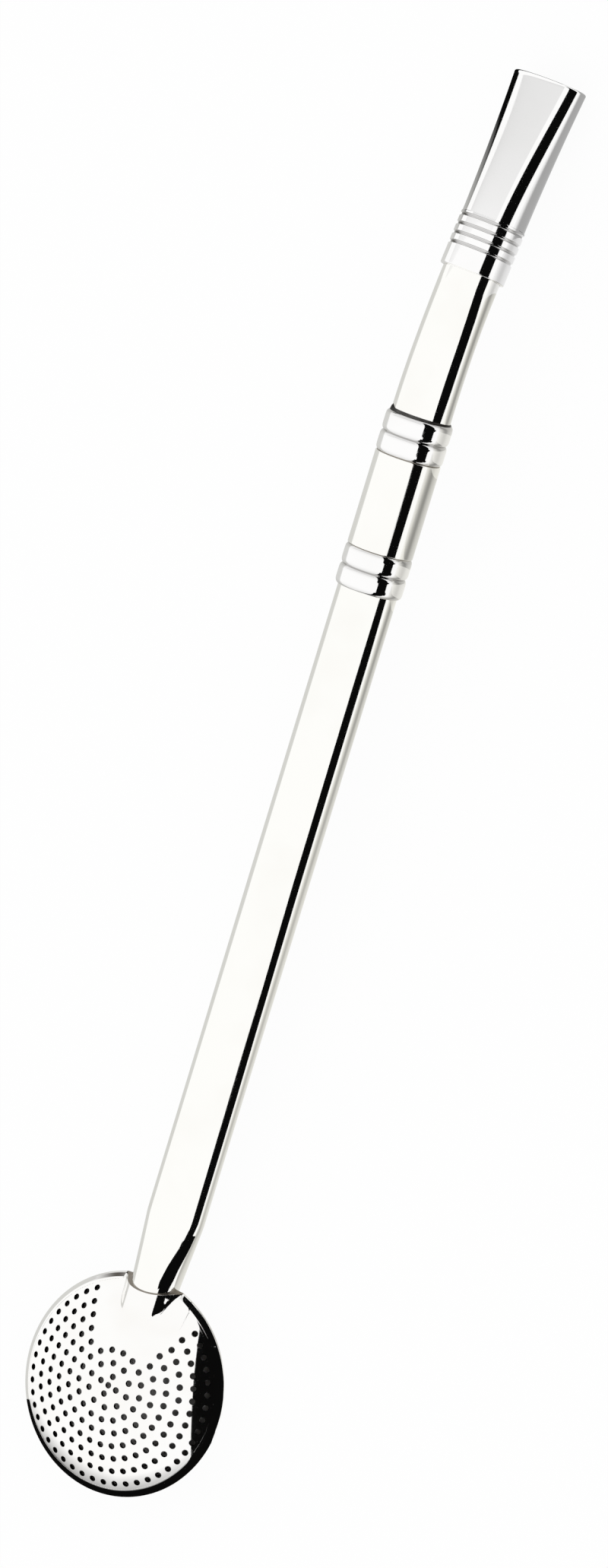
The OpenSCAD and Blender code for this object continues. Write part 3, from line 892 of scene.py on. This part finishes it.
lip_from = 1 - LIP_ROUND / (MOUTH_END - MOUTH_ROOT)
mouth_outside = [mouth_section(k, 0) for k in np.linspace(0, lip_from, MOUTH_STATIONS)]
lip_loop = []
for step in np.linspace(0, math.pi, LIP_STEPS):
    w, t, s = mouth_section(1, MOUTH_WALL / 2 * (1 - math.cos(step)))
    lip_loop.append((w, t, s - LIP_ROUND + LIP_ROUND * math.sin(step)))
mouth_inside = [mouth_section(k, MOUTH_WALL)
                for k in np.linspace(lip_from, MOUTH_BORE_FROM, MOUTH_STATIONS)]
mouth_root = bend_end + MOUTH_ROOT
bore_r = MOUTH_SPIGOT_R - MOUTH_WALL
spigot = [(bore_r, bore_r, mouth_inside[-1][2]), (bore_r, bore_r, mouth_root - SPIGOT_LEN),
          (MOUTH_SPIGOT_R, MOUTH_SPIGOT_R, mouth_root - SPIGOT_LEN),
          (MOUTH_SPIGOT_R, MOUTH_SPIGOT_R, mouth_root)]
mouthpiece = turned_piece("mouthpiece_formed", mouth_outside + lip_loop[1:-1] + mouth_inside + spigot)
mouthpiece.data.materials.append(turned_steel)
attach(mouthpiece, "root")
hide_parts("mouthpiece")


# FLOOR AND LIGHT
# A seamless white table and white walls all round, which give an even, soft light.
# To the camera and in the polished steel they are plain white; the table keeps a soft shadow.

FLOOR_HALF = 4.0
FLOOR_LEVEL = -0.00002
FLOOR_COLOUR = (0.9, 0.9, 0.9, 1)
PURE_WHITE = (1, 1, 1, 1)
LIGHT_LEVEL = 1.0
FLOOR_GLOW_SHARE = 0.94


def seen_directly(tree):
    """1 for rays from the camera, from gloss and through glass, 0 for those that light the object."""
    path = put(tree, "ShaderNodeLightPath", (-900, 300))
    first = put(tree, "ShaderNodeMath", (-700, 300), _0=path.outputs["Is Camera Ray"],
                _1=path.outputs["Is Glossy Ray"])
    first.operation = "MAXIMUM"
    both = put(tree, "ShaderNodeMath", (-500, 300), _0=first.outputs[0],
               _1=path.outputs["Is Transmission Ray"])
    both.operation = "MAXIMUM"
    return both.outputs[0]


floor_mesh = bpy.data.meshes.new("table")
floor_mesh.from_pydata([(x * FLOOR_HALF, y * FLOOR_HALF, FLOOR_LEVEL)
                        for x, y in ((-1, -1), (1, -1), (1, 1), (-1, 1))], [], [(0, 1, 2, 3)])
floor = bpy.data.objects.new("table", floor_mesh)
bpy.context.scene.collection.objects.link(floor)
white_table = bpy.data.materials.new("white_table")
white_table.use_nodes = True
table_tree = white_table.node_tree
table_tree.nodes.remove(table_tree.nodes["Principled BSDF"])
matte = put(table_tree, "ShaderNodeBsdfDiffuse", (-300, 0), Color=FLOOR_COLOUR)
table_glow = put(table_tree, "ShaderNodeEmission", (-300, -200), Color=PURE_WHITE, Strength=1.0)
glow_share = put(table_tree, "ShaderNodeMath", (-300, 200), _0=seen_directly(table_tree),
                 _1=FLOOR_GLOW_SHARE)
glow_share.operation = "MULTIPLY"
blend = put(table_tree, "ShaderNodeMixShader", (0, 0), _0=glow_share.outputs[0], _1=matte.outputs[0],
            _2=table_glow.outputs[0])
table_tree.links.new(blend.outputs[0], table_tree.nodes["Material Output"].inputs["Surface"])
floor_mesh.materials.append(white_table)

world = bpy.data.worlds.new("white_room")
bpy.context.scene.world = world
world.use_nodes = True
room_light = world.node_tree.nodes["Background"]
room_light.inputs["Color"].default_value = PURE_WHITE
room_light.inputs["Strength"].default_value = LIGHT_LEVEL


# BLACK AND GREY CARDS: PAINTED REFLECTIONS AND SHADOWS
# Glowing cards, out of the picture, that paint dark lines along the polished steel as reflections.
# Only gloss sees them: they throw no shadow and take no light from the table. The grey and black ones
# lying on the table are painted shadows of the straw, seen only in the steel.

BLACK = (0.003, 0.003, 0.003)
WHITE = (1.0, 1.0, 1.0)
# Greys of the painted shadows on the table.
SHADOW_GREY = (0.66, 0.66, 0.64)
PALE_SHADOW_GREY = (0.82, 0.82, 0.82)
CEILING_REFLECTION_GREY = (0.74, 0.74, 0.74)
NEAR_WHITE = (0.92, 0.92, 0.92)
STRAINER_Y = -83.5
SHADOW_CARD_LIFT = 0.01


def card(name, corners, tones):
    """A flat glowing card that only gloss sees, a painted reflection; each corner, in millimetres, has its
    own tone.
    """
    mesh = bpy.data.meshes.new(name)
    mesh.from_pydata([[v * MM for v in corner] for corner in corners], [], [tuple(range(len(corners)))])
    shade = mesh.color_attributes.new("tone", "FLOAT_COLOR", "POINT")
    for point, tone in zip(shade.data, tones):
        point.color = (*tone, 1)
    piece = bpy.data.objects.new(name, mesh)
    bpy.context.scene.collection.objects.link(piece)
    reflection_board = bpy.data.materials.new(name)
    reflection_board.use_nodes = True
    tree = reflection_board.node_tree
    tree.nodes.remove(tree.nodes["Principled BSDF"])
    painted = put(tree, "ShaderNodeAttribute", (-400, 0))
    painted.attribute_name = "tone"
    # Glows with its own tone: a painted reflection.
    painted_reflection_glow = put(tree, "ShaderNodeEmission", (-200, 0), Color=painted.outputs["Color"], Strength=1.0)
    tree.links.new(painted_reflection_glow.outputs[0], tree.nodes["Material Output"].inputs["Surface"])
    mesh.materials.append(reflection_board)
    # Seen only by gloss: the card exists only as a painted reflection.
    piece.visible_camera = False
    piece.visible_diffuse = False
    piece.visible_shadow = False


def painted_shadow_card(name, x0, x1, y0, y1, tones):
    """A card lying on the table, a painted shadow seen only in the steel; tones run from its left end to
    its right end at y0, then back at y1.
    """
    card(name, [(x, y, SHADOW_CARD_LIFT) for x, y in ((x0, y0), (x1, y0), (x1, y1), (x0, y1))], tones)


# The long card at the right paints the black stripe on the steel as a reflection. Its edges are given as
# (y, z): both are lower beside the stem, and the lower one dips again beside the bend.
LONG_CARD_X = 350
LOWER_EDGE = ((-1500, 40), (-140, 40), (-115, 8), (-30, 8), (-20, 40), (8, 40), (35, 5), (70, 5),
              (90, 40), (1500, 48))
UPPER_EDGE = ((-1500, 315), (-140, 322), (-115, 262), (-30, 265), (-20, 324), (100, 325), (1500, 345))
cuts = sorted({y for y, _ in LOWER_EDGE + UPPER_EDGE})
lower, higher = (np.interp(cuts, *zip(*edge)) for edge in (LOWER_EDGE, UPPER_EDGE))
for k in range(len(cuts) - 1):
    outline = ((cuts[k], lower[k]), (cuts[k + 1], lower[k + 1]), (cuts[k + 1], higher[k + 1]),
               (cuts[k], higher[k]))
    card("long_black_reflection_card_%d" % k, [(LONG_CARD_X, y, z) for y, z in outline], [BLACK] * 4)

# Painted shadow of the straw on the table at the right, seen only in the steel, darkest a little way out,
# as (x, tone). It lies in lengths, (from y, to y, strength at each end), and is neutral beside the mouth
# and warm elsewhere.
RIGHT_SHADE = ((0.5, 0.8), (9, 0.55), (13, 0.33), (16, 0.33), (30, 0.7), (60, 1.0))
MOUTH_SHADE = ((0.5, 0.6), (6, 0.4), (11, 0.38), (16, 0.38), (24, 0.8), (45, 1.0))
RIGHT_SHADOW_STRENGTH = ((-72, -62, 0.8, 0.8), (-62, -20, 0.75, 0.75), (-20, 25, 0.75, 1), (25, 31, 0.55, 0.55),
                  (31, 43.5, 1.05, 1.05), (43.5, 49.5, 0.55, 0.55), (49.5, 69, 1, 1), (69, 77, 0.6, 0.6),
                  (77, 106, 1, 1))
WARM_TO = 70
MOUTH_SHADE_FROM = 78
WARMTH = (1.0, 0.99, 0.94)


def painted_shadow_tone(tone, strength, warm):
    """A grey of the painted shadow, drawn towards white where it is weak; white itself is never tinted."""
    shade = 1 - (1 - tone) * strength
    return tuple(shade * w if warm and tone < 1 else shade for w in WARMTH)


# Painted shadow of the straw on the table at the right, seen only in the steel.
for part, (y0, y1, start, end) in enumerate(RIGHT_SHADOW_STRENGTH):
    warm = y1 < WARM_TO
    shades = RIGHT_SHADE if y1 < MOUTH_SHADE_FROM else MOUTH_SHADE
    for strip, ((x0, near), (x1, far)) in enumerate(zip(shades, shades[1:])):
        painted_shadow_card("right_painted_shadow_%d_%d" % (part, strip), x0, x1, y0, y1,
                   [painted_shadow_tone(near, start, warm), painted_shadow_tone(far, start, warm),
                    painted_shadow_tone(far, end, warm), painted_shadow_tone(near, end, warm)])

# Painted shadow of the straw on the table at the left, seen only in the steel, which turns black beside
# the mouth, as (x0, x1, y0, y1, tones).
LEFT_PAINTED_SHADOWS = {
    "left_shade": (-60, 0.5, -62, 74, [SHADOW_GREY] * 4),
    "left_far_shade": (-300, -60, -112, 74, [PALE_SHADOW_GREY, SHADOW_GREY, SHADOW_GREY, PALE_SHADOW_GREY]),
    "strainer_left_shade": (-60, -8, -112, -62, [SHADOW_GREY] * 4),
    "mouth_left_shadow_fade": (-60, 0.5, 74, 92, [SHADOW_GREY, SHADOW_GREY, BLACK, BLACK]),
    "mouth_left_painted_shadow": (-60, 0.5, 92, 106, [BLACK] * 4),
}
for shadow_name, place_and_tones in LEFT_PAINTED_SHADOWS.items():
    painted_shadow_card(shadow_name, *place_and_tones)

# A low black wall at the far edge of the left painted shadow and a grey ceiling: painted reflections for
# the mouthpiece.
LEFT_WALL_X = -60
LEFT_WALL = ((80, 0), (92, 0), (104, 0), (104, 8), (92, 3))
CEILING_HEIGHT = 100
CEILING = ((-350, 102), (62, 102), (62, 145), (-350, 145))
card("mouth_left_reflection_wall", [(LEFT_WALL_X, y, z) for y, z in LEFT_WALL], [SHADOW_GREY] + [BLACK] * 4)
card("mouth_ceiling_reflection", [(x, y, CEILING_HEIGHT) for x, y in CEILING],
     [NEAR_WHITE, NEAR_WHITE, CEILING_REFLECTION_GREY, CEILING_REFLECTION_GREY])

# Small cards beside the strainer paint, as reflections, the black crescent on its dome, the wide stripe on
# the taper and the black edge right of the neck. Their outlines are (x, y), (y, z) and (x, z).
CRESCENT_CARD_Z = 14
CRESCENT_CARD = ((9.6, 17.9), (12.9, 4.85), (16.8, -9.1), (20, -20), (60, -20), (60, 19), (9.3, 19))
TAPER_CARD_X = 6.4
TAPER_CARD = ((12.5, 6.5), (14.6, 6), (16.1, 6.05), (19.5, 5.3), (21.4, 5.3), (21.3, 9.62),
              (19.5, 10.44), (15.9, 13.5), (13.8, 14.4), (12.6, 12.9), (13, 11.5), (12.5, 8))
RIM_CARD_Y = 19
RIM_CARD = ((4.4, 6.6), (20, 9), (20, 15), (12, 12.8), (5.9, 9.8), (4.4, 8))
card("crescent_reflection_card", [(x, STRAINER_Y + y, CRESCENT_CARD_Z) for x, y in CRESCENT_CARD],
     [BLACK] * len(CRESCENT_CARD))
card("taper_reflection_card", [(TAPER_CARD_X, STRAINER_Y + y, z) for y, z in TAPER_CARD], [BLACK] * len(TAPER_CARD))
card("rim_reflection_card", [(x, STRAINER_Y + RIM_CARD_Y, z) for x, z in RIM_CARD], [BLACK] * len(RIM_CARD))

# A black sheet, seen only in the steel, lies in front of the strainer and rises in the distance: painted
# shadow of the strainer on the table and a painted dark reflection above it. Above its edge it fades fast
# to
# grey and slowly to the white room: (azimuth, edge, end of the fast fade, end of the slow one, grey).
SHADOW_SHEET_NEAR = 17
SHADOW_SHEET_REACH = 60
SHADOW_SHEET_LIFT = 0.02
RIM_REACH = 14.5
RIM_LEVEL = 5
SHADOW_SHEET_EDGE = ((207, 0, 1, 8, 0.75), (215, 3, 4, 13, 0.65), (225, 5, 6.5, 18, 0.5), (243, 11, 13, 26, 0.42),
              (261, 17, 20, 33, 0.42), (280, 25, 28.5, 42, 0.42), (295, 32, 35, 47, 0.42),
              (322, 40, 41.5, 50, 0.6), (345, 42, 43, 48, 0.8))
shadow_sheet = []
for azimuth, *heights, grey in SHADOW_SHEET_EDGE:
    out = (math.cos(math.radians(azimuth)), math.sin(math.radians(azimuth)))
    near = (SHADOW_SHEET_NEAR * out[0], STRAINER_Y + SHADOW_SHEET_NEAR * out[1], SHADOW_SHEET_LIFT)
    x, y = SHADOW_SHEET_REACH * out[0], STRAINER_Y + SHADOW_SHEET_REACH * out[1]
    levels = [RIM_LEVEL + (SHADOW_SHEET_REACH - RIM_REACH) * math.tan(math.radians(h)) for h in heights]
    corners = [near, (x, y, SHADOW_SHEET_LIFT)] + [(x, y, level) for level in levels]
    shadow_sheet.append((corners, (BLACK, BLACK, BLACK, (grey, grey, grey), WHITE)))
# Strips of painted shadow on the table and painted dark reflection above it.
for k, ((these, tones), (following, following_tones)) in enumerate(zip(shadow_sheet, shadow_sheet[1:])):
    for row, strip in enumerate(("flat", "raised", "fade", "haze")):
        card("painted_shadow_sheet_%s_%d" % (strip, k),
             [these[row], these[row + 1], following[row + 1], following[row]],
             [tones[row], tones[row + 1], following_tones[row + 1], following_tones[row]])


# CAMERA
# Above and a little to the right of the straw, with a long lens, turned so that the stem leans.
# It stands so far back that the picture is as high as the frame height, measured at the straw.

VIEW = Vector((0.438, 0.1181, 0.8908)).normalized()
UPWARD = Vector((-0.324, 0.9454, 0.0339))
AIM = Vector((0.00006, -0.000185, 0.0076))
SHIFT_RIGHT = -0.00045
SHIFT_UP = 0.00065
ROLL = 0.0023
LENS = 300.0
SENSOR = 36.0
FRAME_HEIGHT = 0.2062

right = UPWARD.cross(VIEW).normalized()
upward = (VIEW.cross(right) - ROLL * right).normalized()
right = upward.cross(VIEW)
camera_data = bpy.data.cameras.new("camera")
camera_data.lens = LENS
camera_data.sensor_width = SENSOR
camera = bpy.data.objects.new("camera", camera_data)
spot = AIM + right * SHIFT_RIGHT + upward * SHIFT_UP + VIEW * (FRAME_HEIGHT * LENS / SENSOR)
camera.matrix_world = Matrix(((right.x, upward.x, VIEW.x, spot.x), (right.y, upward.y, VIEW.y, spot.y),
                              (right.z, upward.z, VIEW.z, spot.z), (0, 0, 0, 1)))
bpy.context.scene.collection.objects.link(camera)
bpy.context.scene.camera = camera

bpy.context.scene.view_settings.view_transform = "Standard"
